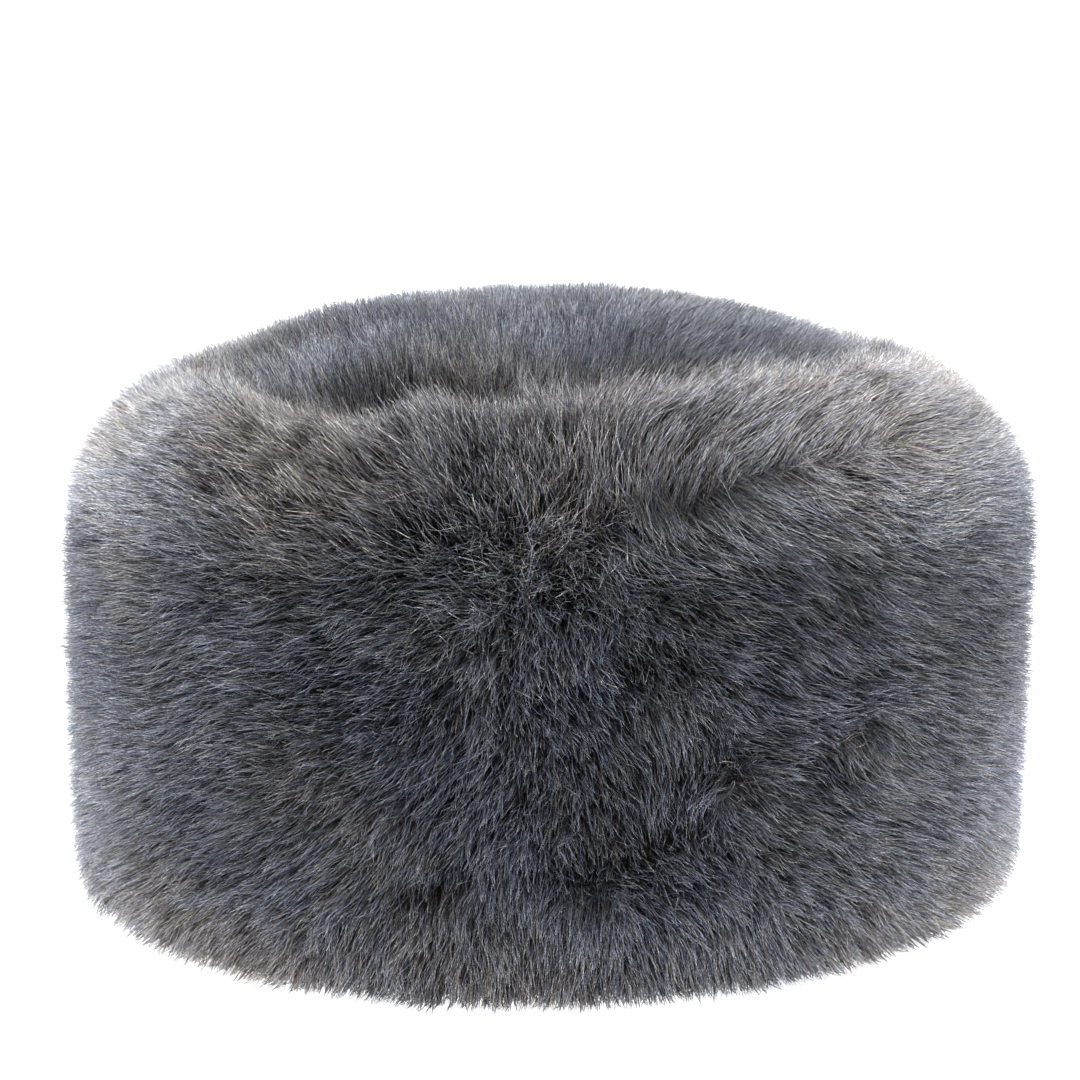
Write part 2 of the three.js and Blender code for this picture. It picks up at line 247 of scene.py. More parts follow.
def band_places(n, offset):
    """Where n fibres of the band have their tips, as band_tips gives them."""
    at, line, _ = band_tip_line()
    thin = 1 - THINNED_BY * fade(line[:, 1], *THINNED)
    area = np.cumsum(line[:, 0] * thin)
    area /= area[-1]
    u = spread(n, offset)
    return band_tips(np.interp(u[:, 0], area, at), u[:, 1] * 360)


def fringe_places(n, offset):
    """The same for the fringe alone, over the shoulder and the crest."""
    at, line, _ = band_tip_line()
    u = spread(n, offset)
    start = np.interp(FRINGE_START, line[:, 1], at)
    return band_tips(start + (at[-1] - start) * u[:, 0] ** FRINGE_CROWDING, u[:, 1] * 360)


def band_tips(place, azimuth):
    """Tips at places along the line of tips, with outward normals, directions, reach, share of the
    crest, and how much the partings shorten each."""
    at, line, normal = band_tip_line()
    r = np.interp(place, at, line[:, 0])
    z = np.interp(place, at, line[:, 1])
    nr = np.interp(place, at, normal[:, 0])
    nz = np.interp(place, at, normal[:, 1])
    n = len(azimuth)
    out = np.c_[np.cos(np.radians(azimuth)), np.sin(np.radians(azimuth)), np.zeros(n)]
    round_ = np.c_[-out[:, 1], out[:, 0], np.zeros(n)]
    surface = unit(out * nr[:, None] + UP * nz[:, None])
    lift, turn = lie(azimuth, z)
    under = (z < UNDER_HEIGHT) & (r < UNDER_RADIUS)
    lift = np.where(under, UNDER_LIFT, lift)
    crest = fade(r, *CREST) * (z > CREST_LEAST_HEIGHT)
    lift = np.radians(lift + (CREST_LIFT - lift) * crest)
    turn = np.radians(turn)
    level = out * np.cos(turn)[:, None] + round_ * np.sin(turn)[:, None]
    way = level * np.cos(lift)[:, None] + UP * np.sin(lift)[:, None]
    tip = out * r[:, None] + UP * z[:, None]
    reach = swell(azimuth, z) + FULLNESS
    aside, short = partings(azimuth, z)
    along = unit(np.cross(round_, surface))
    along *= np.sign(along[:, 2:3] + SLIGHT)
    sideways = np.clip(tip[:, 0] / LEAN_WIDTH, *LEAN_SPAN) * fade(-tip[:, 1], *LEAN_FRONT) * crest
    lean = np.array([CREST_LEAN, 0, 0]) * sideways[:, None]
    way = unit(way + round_ * aside[:, :1] + along * aside[:, 1:] + lean)
    return tip, surface, way, reach - short, crest, short


def crown_places(n, offset):
    """The same for n fibres of the crown."""
    u = spread(n, offset)
    r = np.sqrt(u[:, 0]) * (CROWN_RADIUS - CROWN_INSET)
    turn = u[:, 1] * 2 * math.pi
    out = np.c_[np.cos(turn), np.sin(turn), np.zeros(n)]
    edge = r / CROWN_RADIUS
    surface = unit(UP + out * (CROWN_NORMAL * edge)[:, None])
    rightward = CROWN_LEAN * fade(out[:, 0] * r, *CROWN_LEAN_FROM)
    way = unit(UP + out * (CROWN_SPLAY * edge)[:, None] + np.array([1.0, 0, 0]) * rightward[:, None])
    rise = RIM_DROP * fade(r, *RIM_DROP_FROM) ** 2
    # how deep the crown's dents are; this later darkens the fibres there as painted shade
    dent = np.zeros(n)
    for x, y, across, height in CROWN_SWELLS:
        near = height * np.exp(-((out[:, 0] * r - x) ** 2 + (out[:, 1] * r - y) ** 2) / across ** 2)
        rise += near
        dent += np.maximum(-near, 0)
    tip = out * r[:, None] + UP * (crown_height(r) + rise)[:, None]
    return tip, surface, way, np.full(n, CROWN_REACH), np.zeros(n), dent


def clumped(tip, spacing, pull, seed, area):
    """Draws tips towards the middle of their clump. Gives the shift, each tip's clump and the
    number of clumps."""
    r = np.random.default_rng(seed)
    count = max(8, int(area / spacing ** 2))
    chosen = r.choice(len(tip), min(count, len(tip)), replace=False)
    tree = KDTree(len(chosen))
    for i, j in enumerate(chosen):
        tree.insert(tip[j], i)
    tree.balance()
    wander = r.normal(0, spacing * CLUMP_WANDER, tip.shape)
    mine = np.array([tree.find(p)[1] for p in tip + wander])
    gap = tip[chosen[mine]] - tip
    strength = r.uniform(*pull, len(chosen))[mine]
    return gap * strength[:, None], mine, len(chosen)


# How single fibres differ, with distances in millimetres and the rest in shares.
# Kind: share of short fibres, extra length, spread of tone, paling (the higher, the shorter a pale tip)
KINDS = {"side": (0.45, 0, 0.17, 1.25), "fringe": (0.2, 6, 0.23, 1.15), "crown": (0.45, 0, 0.17, 1.1)}
WISP, TUFT = (1.9, (0.10, 0.52)), (9, (0.02, 0.16))  # spacing of the clumps, and their pull
WISP_LENGTH, WISP_TURN, WISP_TONE = 0.4, 0.10, 0.08  # how far one clump differs from the next
TUFT_LENGTH, TUFT_TURN = 0.45, 0.06
CLUMP_WANDER = 0.2  # of the spacing, so that clumps have ragged edges
BROAD_SHARE, FINE_SHARE = 0.09, 0.08  # of the direction
WHORL, WHORL_REACH = np.array([3.0, -OUTER_RADIUS, 114.0]), 24
TOUSLED, TOUSLED_AT_WHORL = 0.13, 0.08
TIP_DEPTH, SHORT_DEPTH, CREST_DEPTH = 1.6, (1.5, 8), 7
STRAY_SHARE, STRAY_REACH = 0.006, (0.5, 2.5)
FRONT, FRONT_REACH = (0, 60), 6  # distances to the front, and how much longer the fringe gets there
# Tufts differ more high up, on the crest and in front
UPPER, UNEVEN_UPPER, UNEVEN_CREST, UNEVEN_FRONT = (112, 126), 1.3, 0.4, 2.2
CROSSING, CROSSING_POWER = (74, 84), 1.5  # radii over which the crown's tips cross the valley
LENGTH_SPREAD = 2
ROOT_SHIFT, ROOT_STRAIGHT, BEND_AT, BEND_SPREAD = 0.4, 0.6, 0.5, 0.9
ROOT_CLEAR, BEND_CLEAR = 0.8, 0.4  # at least this far outside the backing
FLOOR_CLEAR, FLOOR_SPREAD = 0.25, 0.4
BROAD_BEND = [Waves(11 + i, 38) for i in range(3)]
FINE_BEND = [Waves(31 + i, 10) for i in range(3)]


def fibres(places, n, seed, area, stations, kind):
    """Stations of n fibres from root to tip, and each one's tone, hue and normal, and the source of
    their random draws."""
    r = np.random.default_rng(seed)
    short_share, extra, tone_spread, _ = KINDS[kind]
    tip, surface, way, reach, crest, sunk = places(n, seed * 1000)
    broad = np.stack([w(tip) for w in BROAD_BEND], 1)
    fine = np.stack([w(tip) for w in FINE_BEND], 1)
    tousled = TOUSLED + TOUSLED_AT_WHORL * np.exp(-(np.linalg.norm(tip - WHORL, axis=1) / WHORL_REACH) ** 2)
    way = unit(way + broad * BROAD_SHARE + fine * FINE_SHARE + r.normal(0, 1, (n, 3)) * tousled[:, None])
    depth = np.abs(r.normal(0, 1, n)) * TIP_DEPTH
    short = r.random(n) < short_share
    depth = np.where(short, r.uniform(*SHORT_DEPTH, n), depth)
    stray = r.random(n) < STRAY_SHARE
    depth = np.where(stray, -r.uniform(*STRAY_REACH, n), depth) + crest * r.uniform(0, CREST_DEPTH, n)
    frontal = fade(-tip[:, 1], *FRONT)
    if kind == "fringe":
        depth -= frontal * FRONT_REACH * r.random(n) ** 2
    small, wisp, wisps = clumped(tip, *WISP, seed + 1, area)
    large, tuft, tufts = clumped(tip, *TUFT, seed + 2, area)
    upper = fade(tip[:, 2], *UPPER) * (kind != "crown")
    uneven = 1.0 + UNEVEN_UPPER * upper + (UNEVEN_CREST + UNEVEN_FRONT * frontal) * crest
    more = r.normal(0, WISP_LENGTH, wisps)[wisp] + r.normal(0, TUFT_LENGTH, tufts)[tuft] * uneven
    way = unit(way + r.normal(0, WISP_TURN, (wisps, 3))[wisp] + r.normal(0, TUFT_TURN, (tufts, 3))[tuft])
    shift = small + large * uneven[:, None]
    end = tip + surface * (reach + more)[:, None] + shift - way * depth[:, None]
    over = fade(np.linalg.norm(tip[:, :2], axis=1), *CROSSING) if kind == "crown" else -crest
    end += unit(tip * LEVEL) * (VALLEY_CROSS * over * r.random(n) ** CROSSING_POWER)[:, None]
    length = PILE_LENGTH + r.normal(0, LENGTH_SPREAD, n) + extra
    base_way = unit(way + surface)
    mean_way = way * ROOT_STRAIGHT + base_way * (1 - ROOT_STRAIGHT)
    root = tip + surface * reach[:, None] + ROOT_SHIFT * shift - mean_way * length[:, None]
    control = root + base_way * (BEND_AT * length)[:, None] + r.normal(0, BEND_SPREAD, (n, 3))
    if kind != "crown":
        for p, clear in ((root, ROOT_CLEAR), (control, BEND_CLEAR)):
            least = HEAD_RADIUS + BACKING + clear
            p[:, :2] *= np.maximum(1, least / np.linalg.norm(p[:, :2], axis=1))[:, None]
    t = np.array(stations)[None, :, None]
    points = (1 - t) ** 2 * root[:, None] + 2 * t * (1 - t) * control[:, None] + t ** 2 * end[:, None]
    points[:, :, 2] = np.maximum(points[:, :, 2], FLOOR_CLEAR + FLOOR_SPREAD * r.random((n, 1)))
    tone = MEAN_TONE + TONE_BROAD_SHARE * TONE_BROAD(tip) + TONE_PATCH_SHARE * TONE_PATCH(tip)
    tone += r.normal(0, tone_spread, n)
    tone += r.normal(0, WISP_TONE, wisps)[wisp] - SHORT_DARKER * short
    # painted shade: fibres in the crown's dents and the partings are darker
    tone -= np.minimum(SUNK_PAINTED_SHADE * sunk, SUNK_PAINTED_SHADE_MOST)
    hue = MEAN_HUE + HUE_PATCH_SHARE * HUE_PATCH(tip) + r.normal(0, HUE_SPREAD, n)
    tone_here, hue_here = crown_colour(tip) if kind == "crown" else band_colour(tip, crest)
    tone = np.clip(tone + tone_here, *COLOUR_SPAN)
    hue = np.clip(hue + hue_here, *COLOUR_SPAN)
    return points, tone, hue, surface, r


# Tone and hue by place. Tone 0 is dark, 1 pale; hue 0 is blue-grey, 1 taupe.
MEAN_TONE, TONE_BROAD_SHARE, TONE_PATCH_SHARE = 0.49, 0.08, 0.05
# Short fibres are darker; fibres sunk in dents and partings get painted shade, per millimetre sunk and at
# most this much.
SHORT_DARKER, SUNK_PAINTED_SHADE, SUNK_PAINTED_SHADE_MOST = 0.10, 0.045, 0.3
MEAN_HUE, HUE_PATCH_SHARE, HUE_SPREAD = 0.29, 0.08, 0.26
COLOUR_SPAN = (0.02, 0.98)
TONE_BROAD, TONE_PATCH, HUE_PATCH = Waves(51, 60), Waves(52, 14), Waves(53, 42)
CROWN_RIM, CROWN_FRONT = (45, 85), (35, 65)  # distances from the middle over which the colour changes
CROWN_TONE, CROWN_RIM_TONE, CROWN_RIM_HUE, CROWN_FRONT_HUE = -0.10, 0.12, 0.16, 0.18
LOW = (LONG_FLECKS, LONG_FLECKS - FLECKS_FADE)
RIM_LIGHT_TOP, RIM_LIGHT_FOOT, RIM_LIGHT_FOOT_SHARE = (98, 120), (46, 12), 0.7  # heights and share of the painted rim light: paler tips at the top and the foot, away from the front
FRONT_AZIMUTH, FRONT_WIDTH = 270, 36
# The middle value paints rim light: the sides and back are paler at the top and the foot.
CREST_TONE, AWAY_PAINTED_LIGHT, AWAY_HUE = -0.10, 0.30, 0.07
# Heights between which the band's colour changes, and what that adds to tone and hue. The paler tone near the
# foot is painted light from the floor below; the low band's paler tone is partly the fur's own colour and
# partly painted light from the floor.
BAND_TINTS_AND_FLOOR_LIGHT = (((108, 128), -0.03, 0.24), ((30, 4), 0.45, 0.28), (LOW, 0.22, -0.05))


def crown_colour(tip):
    """What a tip's place on the crown adds to its tone and hue."""
    rim = fade(np.linalg.norm(tip[:, :2], axis=1), *CROWN_RIM)
    front = fade(-tip[:, 1], *CROWN_FRONT)
    return CROWN_TONE + CROWN_RIM_TONE * rim, CROWN_RIM_HUE * rim + CROWN_FRONT_HUE * front


def band_colour(tip, crest):
    """The same for the band and its fringe."""
    z = tip[:, 2]
    azimuth = np.degrees(np.arctan2(tip[:, 1], tip[:, 0]))
    away = 1 - np.exp(-(turn_between(azimuth, FRONT_AZIMUTH) / FRONT_WIDTH) ** 2)
    # painted rim light: away from the front, tips are paler near the top and the foot
    pale = fade(z, *RIM_LIGHT_TOP) + RIM_LIGHT_FOOT_SHARE * fade(z, *RIM_LIGHT_FOOT)
    # the bumps add the fur's own tone and painted highlight on the shoulders and a swell
    tone = add_bumps(CREST_TONE * crest + AWAY_PAINTED_LIGHT * away * pale, TONES_AND_PAINTED_LIGHT, azimuth, z)
    hue = AWAY_HUE * away
    # near the floor these tints paint light from the floor below
    for heights, more_tone, more_hue in BAND_TINTS_AND_FLOOR_LIGHT:
        share = fade(z, *heights)
        tone += more_tone * share
        hue += more_hue * share
    return tone, hue


# Meshes
def mesh_object(name, verts, sizes, loops):
    """A smooth mesh of faces of these sizes, over the vertices that loops lists."""
    me = bpy.data.meshes.new(name)
    me.vertices.add(len(verts))
    me.vertices.foreach_set("co", np.ascontiguousarray(verts, np.float32).ravel())
    me.loops.add(len(loops))
    me.loops.foreach_set("vertex_index", np.ascontiguousarray(loops, np.int32))
    me.polygons.add(len(sizes))
    starts = np.r_[0, np.cumsum(sizes)[:-1]].astype(np.int32)
    me.polygons.foreach_set("loop_start", starts)
    me.polygons.foreach_set("use_smooth", np.full(len(sizes), True))
    me.update(calc_edges=True)
    me.validate()
    ob = bpy.data.objects.new(name, me)
    bpy.context.scene.collection.objects.link(ob)
    return ob


HUES = 8  # strips across the colour map, from blue-grey to taupe
STRIP_MARGIN, MAP_MARGIN = 0.06, 0.01  # left free beside each strip's tones, and at the map's ends
FIBRE_ON_MAP = 0.35 / 1024  # half a fibre's width on the map, less than a pixel of a baked one
SIDE_TURN, WIDTH_SPAN, WIDTH_LEFT = 0.45, (0.7, 1.25), 0.75  # WIDTH_LEFT is near the tip


def strand_mesh(name, points, stations, tone, hue, surface, width, r, paling):
    """Flat ribbons along the fibres, pointed at both ends and turned mostly outwards. The map's
    columns hold hue and tone, its rows run from root to tip."""
    n, k = points.shape[:2]
    inner = k - 2
    tangent = unit(points[:, -1] - points[:, 1])
    side = unit(np.cross(tangent, surface) + r.normal(0, SIDE_TURN, (n, 3)))
    half = (width / 2 * r.uniform(*WIDTH_SPAN, n))[:, None, None]
    taper = np.linspace(1, WIDTH_LEFT, inner)[None, :, None]
    left = points[:, 1:-1] - side[:, None] * half * taper
    right = points[:, 1:-1] + side[:, None] * half * taper
    verts = np.concatenate([points[:, :1], left, right, points[:, -1:]], 1).reshape(-1, 3) * MM
    corners, at, across, sizes = [0, 1 + inner, 1], [0, 1, 1], [0, 1, -1], [3]
    for i in range(1, inner):
        corners += [i, i + inner, i + inner + 1, i + 1]
        at += [i, i, i + 1, i + 1]
        across += [-1, 1, 1, -1]
        sizes.append(4)
    corners += [inner, 2 * inner, 2 * inner + 1]
    at += [inner, inner, k - 1]
    across += [-1, 1, 0]
    sizes.append(3)
    first = (np.arange(n) * (2 * inner + 2))[:, None]
    ob = mesh_object(name, verts, np.tile(sizes, n), (first + np.array(corners)[None]).ravel())
    strip = np.clip((hue * HUES).astype(int), 0, HUES - 1)
    column = (strip + STRIP_MARGIN + (1 - 2 * STRIP_MARGIN) * tone) / HUES
    u = np.array(across)[None] * FIBRE_ON_MAP + column[:, None]
    v = (np.array(stations) ** (np.zeros((n, 1)) + paling))[:, np.array(at)]
    uv = np.stack([u, MAP_MARGIN + (1 - 2 * MAP_MARGIN) * v], -1).reshape(-1, 2).astype(np.float32).ravel()
    for title in ("Fibre", "OFBake"):
        layer = ob.data.uv_layers.new(name=title)
        layer.uv.foreach_set("vector", uv)
    ob.data.uv_layers["Fibre"].active = True
    return ob


SEGMENTS = 120


def lathe(profile):
    """A closed ring turned from a closed profile of radius and height."""
    profile = np.asarray(profile, float)
    m = len(profile)
    a = np.linspace(0, 2 * math.pi, SEGMENTS, endpoint=False)
    verts = np.stack([np.outer(np.cos(a), profile[:, 0]), np.outer(np.sin(a), profile[:, 0]),
                      np.broadcast_to(profile[:, 1], (SEGMENTS, m))], -1).reshape(-1, 3)
    i, j = np.meshgrid(np.arange(SEGMENTS), np.arange(m), indexing="ij")
    ni, nj = (i + 1) % SEGMENTS, (j + 1) % m
    quads = np.stack([i * m + j, ni * m + j, ni * m + nj, i * m + nj], -1).reshape(-1, 4)
    return verts, quads


# Materials
# Colours along a fibre, from root to tip: place, colour of the coolest and of the warmest fibre
ALONG = (
    (0.00, (0.010, 0.009, 0.009), (0.016, 0.012, 0.008)),
    (0.50, (0.024, 0.026, 0.034), (0.050, 0.039, 0.027)),
    (0.74, (0.071, 0.083, 0.118), (0.140, 0.122, 0.098)),
    (0.88, (0.188, 0.214, 0.288), (0.345, 0.318, 0.282)),
    (1.00, (0.680, 0.740, 0.860), (0.840, 0.800, 0.740)))
TONE_GAIN = ((0.0, 0.25), (0.5, 1.0), (1.0, 2.3))
SPECK_GAIN, SPECK_SCALE = ((0.32, 0.4), (0.5, 0.95), (0.68, 1.9)), (500, 24, 1)
FIBRE_ROUGHNESS, FIBRE_SPECULAR, LIGHT_THROUGH = 0.5, 0.35, 0.4
UNDERCOAT = ((0.010, 0.009, 0.008), (0.030, 0.027, 0.025))
KNIT = ((0.10, 0.095, 0.09), (0.17, 0.165, 0.16))
FUZZ_SCALE, FUZZ_DETAIL, PATCH_SCALE, PATCH_DETAIL = 900, 5, 60, 3
FUZZ_SPAN = (0.3, 0.7)
PATCH_GAIN = ((0.3, 0.6), (0.7, 1.25))
COAT_ROUGHNESS, COAT_SPECULAR, COAT_BUMP, COAT_BUMP_HEIGHT = 0.95, 0.1, 0.6, 0.0008


def new_material(name):
    mat = bpy.data.materials.new(name)
    mat.use_nodes = True
    nt = mat.node_tree
    nt.nodes.clear()
    return mat, nt


def node(nt, kind, at=(0, 0), inputs=(), **values):
    """A node with its settings, and with the values of these inputs set."""
    n = nt.nodes.new(kind)
    n.location = at
    for key, value in values.items():
        setattr(n, key, value)
    for key, value in dict(inputs).items():
        n.inputs[key].default_value = value
    return n


def ramp(nt, stops, source, at):
    """The colour, or the grey, that the stops give for source."""
    n = node(nt, "ShaderNodeValToRGB", at)
    elements = n.color_ramp.elements
    while len(elements) > 1:
        elements.remove(elements[-1])
    for i, (place, colour) in enumerate(stops):
        e = elements.new(place) if i else elements[0]
        e.position = place
        e.color = (*colour, 1) if isinstance(colour, tuple) else (*(colour,) * 3, 1)
    nt.links.new(source, n.inputs[0])
    return n.outputs[0]


def feed(nt, socket, value):
    """Sets an input to a number or colour, or links it to an output."""
    if isinstance(value, (int, float)):
        socket.default_value = value
    elif isinstance(value, tuple):
        socket.default_value = (*value, 1)
    else:
        nt.links.new(value, socket)


def math_node(nt, op, at, *values):
    n = node(nt, "ShaderNodeMath", at, operation=op)
    for socket, value in zip(n.inputs, values):
        feed(nt, socket, value)
    return n.outputs[0]


def mix_colour(nt, factor, a, b, at, blend="MIX"):
    n = node(nt, "ShaderNodeMix", at, data_type="RGBA", blend_type=blend)
    for socket, value in ((n.inputs[0], factor), (n.inputs[6], a), (n.inputs[7], b)):
        feed(nt, socket, value)
    return n.outputs[2]


def noise(nt, at, source, scale, detail):
    n = node(nt, "ShaderNodeTexNoise", at, {"Scale": scale, "Detail": detail})
    nt.links.new(source, n.inputs["Vector"])
    return n.outputs[0]


def surface_output(nt, shader, at):
    out = node(nt, "ShaderNodeOutputMaterial", at)
    nt.links.new(shader.outputs[0], out.inputs[0])


def pile_material(name):
    """Fibre colour by its place between root and tip, its hue strip and its tone."""
    mat, nt = new_material(name)
    uv = node(nt, "ShaderNodeUVMap", (-1400, 0), uv_map="Fibre")
    split = node(nt, "ShaderNodeSeparateXYZ", (-1200, 0))
    nt.links.new(uv.outputs[0], split.inputs[0])
    across, along = split.outputs[0], split.outputs[1]
    strips = math_node(nt, "MULTIPLY", (-1000, 200), across, float(HUES))
    strip = math_node(nt, "FLOOR", (-800, 260), strips)
    hue = math_node(nt, "DIVIDE", (-620, 260), strip, float(HUES - 1))
    tone = math_node(nt, "FRACT", (-800, 120), strips)
    cool = ramp(nt, [(place, colour) for place, colour, _ in ALONG], along, (-600, -60))
    warm = ramp(nt, [(place, colour) for place, _, colour in ALONG], along, (-600, -320))
    colour = mix_colour(nt, hue, cool, warm, (-300, 0))
    gain = ramp(nt, TONE_GAIN, tone, (-600, 480))
    grain_at = node(nt, "ShaderNodeMapping", (-1000, 700), {"Scale": SPECK_SCALE})
    nt.links.new(uv.outputs[0], grain_at.inputs[0])
    grain = noise(nt, (-800, 700), grain_at.outputs[0], 1.0, 1.0)
    speck = ramp(nt, SPECK_GAIN, grain, (-600, 700))
    toned = mix_colour(nt, 1.0, colour, gain, (-180, 60), "MULTIPLY")
    lit = mix_colour(nt, 1.0, toned, speck, (0, 60), "MULTIPLY")
    bsdf = node(nt, "ShaderNodeBsdfPrincipled", (200, 100),
                {"Roughness": FIBRE_ROUGHNESS, "Specular IOR Level": FIBRE_SPECULAR})
    nt.links.new(lit, bsdf.inputs["Base Color"])
    through = node(nt, "ShaderNodeBsdfTranslucent", (200, -240))
    nt.links.new(lit, through.inputs[0])
    mix = node(nt, "ShaderNodeMixShader", (480, 40), {0: LIGHT_THROUGH})
    nt.links.new(bsdf.outputs[0], mix.inputs[1])
    nt.links.new(through.outputs[0], mix.inputs[2])
    surface_output(nt, mix, (680, 40))
    return mat


def coat_material(name, colours):
    """The undercoat between the fibres, or the knitted back of the fabric: dark and light fuzz."""
    mat, nt = new_material(name)
    place = node(nt, "ShaderNodeTexCoord", (-1200, 0)).outputs["Object"]
    fuzz = noise(nt, (-900, 100), place, FUZZ_SCALE, FUZZ_DETAIL)
    patch = noise(nt, (-900, -200), place, PATCH_SCALE, PATCH_DETAIL)
    tone = ramp(nt, zip(FUZZ_SPAN, colours), fuzz, (-600, 100))
    shade = ramp(nt, PATCH_GAIN, patch, (-600, -200))
    colour = mix_colour(nt, 1.0, tone, shade, (-300, 0), "MULTIPLY")
    bsdf = node(nt, "ShaderNodeBsdfPrincipled", (100, 0),
                {"Roughness": COAT_ROUGHNESS, "Specular IOR Level": COAT_SPECULAR})
    nt.links.new(colour, bsdf.inputs["Base Color"])
    bump = node(nt, "ShaderNodeBump", (-150, -300), {"Strength": COAT_BUMP, "Distance": COAT_BUMP_HEIGHT})
    nt.links.new(fuzz, bump.inputs["Height"])
    nt.links.new(bump.outputs[0], bsdf.inputs["Normal"])
    surface_output(nt, bsdf, (400, 0))
    return mat


band_fibre = pile_material("band_fibre")
crown_fibre = pile_material("crown_fibre")
undercoat = coat_material("undercoat", UNDERCOAT)
knit = coat_material("knit_backing", KNIT)


# The fabric under the pile
COAT_FROM, COAT_STEP = (6, CREST_RADIUS + 0.5), 14  # height and radius from where the tips' line counts
COAT_CREST, COAT_FOOT, COAT_FOOT_IN = (100, 145), (24, 4), 9  # heights over which it gets deeper
COAT_CLEAR = (1.5, 5)  # least distance from the seam's wall, and least height
HEM = [(0.5, 0.2), (1.5, 0.0), (BACKING, 1.0)]  # out from the inner face, and up from the hem
LIP = [(0.5, 120.0), (0.0, 119.5)]  # out from the seam's wall, and height
INNER_POINTS, DOME_POINTS = 14, 16
# The undercoat isn't smooth: how far out it starts to waver, how much, how finely, and which way
WOBBLE_FROM, WOBBLE_SIZE, WOBBLE_WAVE, WOBBLE_WAY = 4, 1.2, 12, np.array([1, 1, 0.3])
RIM_ROUND, DOME_INSET, CROWN_WALL_IN, CROWN_WALL_RISE, CROWN_SINK = (1, 0.8), 1, 7, 1, 3
HUB_RADIUS = 0.01  # keeps the crown's middle a ring
BAND_MARGIN, CROWN_MARGIN = 0.1, 1.0  # how far from the inner face a face still counts as inside


def coat_object(name, verts, quads, inside):
    """A piece with the undercoat outside and the knitted back of the fabric on the faces inside."""
    ob = mesh_object(name, verts * MM, np.full(len(quads), 4), quads.ravel())
    ob.data.materials.append(undercoat)
    ob.data.materials.append(knit)
    ob.data.polygons.foreach_set("material_index", inside.astype(np.int32))
    return ob


def band_coat():
    _, line, normal = band_tip_line()
    wall = HEAD_RADIUS + BACKING + SEAM_GAP
    side = (line[:, 1] > COAT_FROM[0]) & (line[:, 0] > COAT_FROM[1])
    pick = np.flatnonzero(side)[::COAT_STEP]
    deep = SIDE_COAT + (CREST_COAT - SIDE_COAT) * fade(line[pick, 1], *COAT_CREST)
    sunk = line[pick] - normal[pick] * deep[:, None]
    sunk[:, 0] -= COAT_FOOT_IN * fade(sunk[:, 1], *COAT_FOOT) ** 2
    outer = sunk[(sunk[:, 0] > wall + COAT_CLEAR[0]) & (sunk[:, 1] > COAT_CLEAR[1])]
    profile = [(HEAD_RADIUS, z) for z in np.linspace(SEAM_HEIGHT, HEM_HEIGHT + 1, INNER_POINTS)]
    profile += [(HEAD_RADIUS + out, HEM_HEIGHT + up) for out, up in HEM]
    profile += [tuple(p) for p in outer]
    profile += [(wall + out, z) for out, z in LIP] + [(wall, SEAM_HEIGHT)]
    verts, quads = lathe(profile)
    soft = np.hypot(verts[:, 0], verts[:, 1]) > HEAD_RADIUS + BACKING + WOBBLE_FROM
    away = unit(verts[soft] * WOBBLE_WAY)
    verts[soft] += away * (Waves(5, WOBBLE_WAVE)(verts[soft]) * WOBBLE_SIZE)[:, None]
    centre = verts[quads].mean(1)
    inside = np.hypot(centre[:, 0], centre[:, 1]) < HEAD_RADIUS + BACKING + BAND_MARGIN
    return coat_object("band_backing", verts, quads, inside)


def crown_coat():
    share = np.linspace(0.0, 1.0, DOME_POINTS)
    under, edge = SEAM_HEIGHT + SEAM_GAP, HEAD_RADIUS + BACKING
    over, flat = under + BACKING, HEAD_RADIUS - DOME_INSET
    lower = [(s * flat, under + CROWN_BULGE * (1 - s * s)) for s in share]
    rim = [(edge - RIM_ROUND[0], under), (edge, under + RIM_ROUND[1]), (edge, over - RIM_ROUND[1]),
           (edge - RIM_ROUND[0], over)]
    wall = CROWN_RADIUS - CROWN_WALL_IN
    top = [(wall, over + CROWN_WALL_RISE)]
    top += [(s * wall, crown_height(s * wall) - SIDE_COAT - CROWN_SINK * s ** 4) for s in share[::-1]]
    profile = np.array(lower + rim + top)
    profile[0, 0] = profile[-1, 0] = HUB_RADIUS
    verts, quads = lathe(profile)
    centre = verts[quads].mean(1)
    dome = CROWN_BULGE * (1 - (np.hypot(centre[:, 0], centre[:, 1]) / flat) ** 2)
    return coat_object("crown_backing", verts, quads, centre[:, 2] < under + dome + CROWN_MARGIN)


band_base = band_coat()
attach(band_base, "root")
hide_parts("side_band")
crown_base = crown_coat()
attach(crown_base, "root")
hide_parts("crown")

# The pile
BAND_AREA, SHOULDER_AREA, CROWN_AREA = 160000.0, 52000.0, 23500.0
LOW_PALING = 0.65  # added to the side's paling low on the band
SHORT_STATIONS = (0.0, 0.68, 1.0)
LONG_STATIONS = (0.0, 0.45, 0.78, 1.0)
BAND_WIDTH, CROWN_WIDTH = 0.30, 0.28
SECTORS = ("_left_back", "_right_back", "_right_front", "_left_front")


def grow(name, kind, places, count, seed, area, stations, width, material, parts=("",)):
    """Fibres of one kind, in as many pieces round the hat as there are parts."""
    points, tone, hue, surface, chance = fibres(places, count, seed, area, stations, kind)
    azimuth = np.degrees(np.arctan2(points[:, -1, 1], points[:, -1, 0])) % 360
    sector = np.minimum((azimuth / (360 / len(parts))).astype(int), len(parts) - 1)
    for i, part in enumerate(parts):
        mine = np.flatnonzero(sector == i)
        low = fade(points[mine, -1, 2], *LOW) * (kind == "side")
        paling = KINDS[kind][3] + LOW_PALING * low[:, None]
        piece = strand_mesh(name + part, points[mine], stations, tone[mine], hue[mine], surface[mine],
                            width, chance, paling)
        piece.data.materials.append(material)
        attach(piece, "root")


